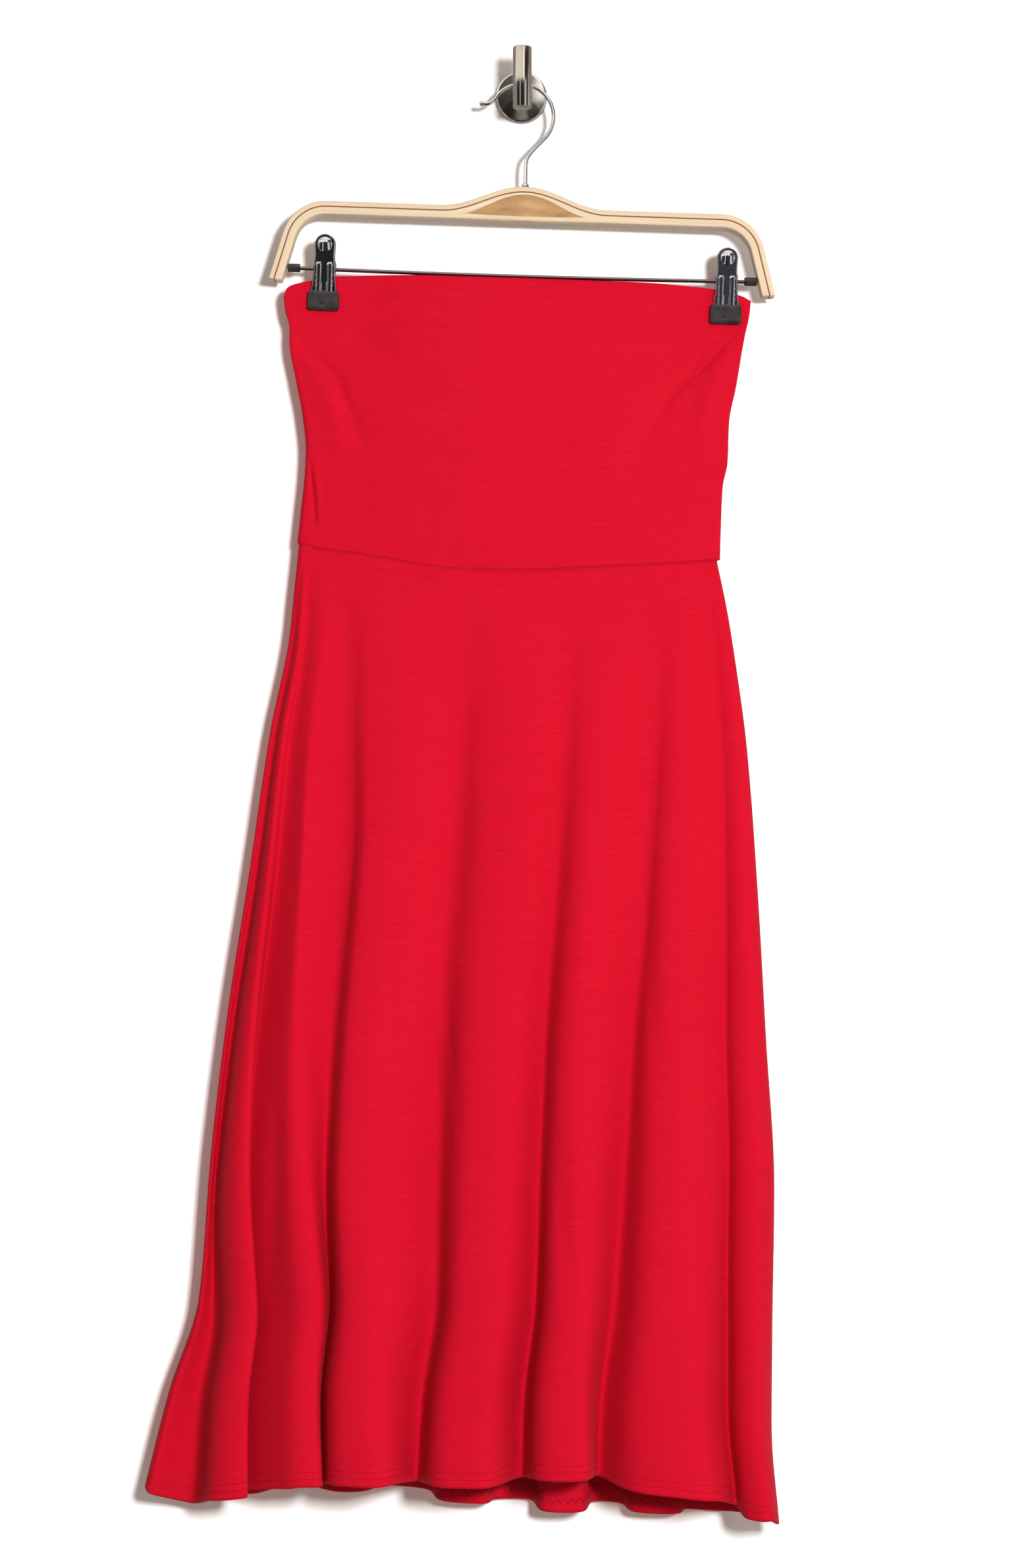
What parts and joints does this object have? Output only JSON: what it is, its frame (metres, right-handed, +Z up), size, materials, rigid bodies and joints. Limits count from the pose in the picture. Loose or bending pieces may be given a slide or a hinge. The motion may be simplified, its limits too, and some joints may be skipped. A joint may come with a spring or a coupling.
{
  "type": "strapless dress on a clip hanger and wall hook",
  "caption": "Strapless jersey dress with a flared, fluted skirt, clipped to a bent wood hanger on a round wall hook.",
  "frame": {"origin": "centre of the wall plate's back face, on the wall", "axes": "+Z up, +Y into the wall, +X to the viewer's right, so the dress hangs below the origin and faces -Y"},
  "size_m": [0.5332, 0.1011, 1.2359],
  "materials": {
    "jersey": "matt slub jersey",
    "light_wood": "satin lacquer",
    "core_wood": "satin lacquer",
    "chrome": "polished",
    "steel_rod": "drawn wire",
    "rubber": "matt moulded",
    "brushed_nickel": "brushed nickel"
  },
  "bodies": {
    "root": {"bodice_front": "jersey", "bodice_back": "jersey", "skirt_front": "jersey", "skirt_back": "jersey", "hanger_upper_ply": "light_wood", "hanger_lower_ply": "light_wood", "hanger_hump_core": "core_wood", "hanger_hook": "chrome", "hanger_collar": "chrome", "hanger_rod": "steel_rod", "rod_sleeve_left": "rubber", "rod_sleeve_right": "rubber", "clip_left_front_plate": "chrome", "clip_left_back_plate": "chrome", "clip_left_front_pad": "rubber", "clip_left_back_pad": "rubber", "clip_left_spring": "steel_rod", "clip_right_front_plate": "chrome", "clip_right_back_plate": "chrome", "clip_right_front_pad": "rubber", "clip_right_back_pad": "rubber", "clip_right_spring": "steel_rod", "wall_plate": "brushed_nickel", "wall_peg": "brushed_nickel", "wall_bar": "brushed_nickel"}
  },
  "joints": []
}
